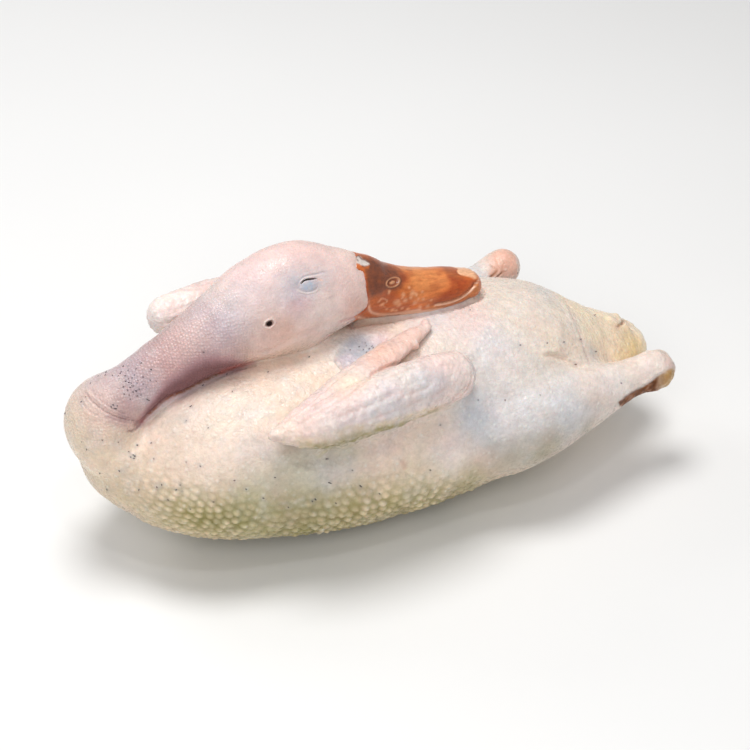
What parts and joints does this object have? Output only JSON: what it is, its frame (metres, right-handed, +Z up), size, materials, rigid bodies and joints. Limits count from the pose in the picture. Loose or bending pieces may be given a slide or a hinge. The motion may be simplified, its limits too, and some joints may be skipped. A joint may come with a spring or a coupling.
{
  "type": "whole plucked duck",
  "caption": "Whole raw plucked duck with its head on, lying on its breast, the neck folded back so that head and bill rest along the back.",
  "frame": {"origin": "middle of the bounding box in X and Y, at its lowest point, where the breast rests", "axes": "+X runs along the body towards the tail, -Y is the duck's left side, +Z is up"},
  "size_m": [0.3458, 0.1586, 0.1634],
  "materials": {
    "skin": "moist raw poultry skin with feather follicles, cream to pink"
  },
  "bodies": {
    "root": {"duck": "skin"}
  },
  "joints": []
}
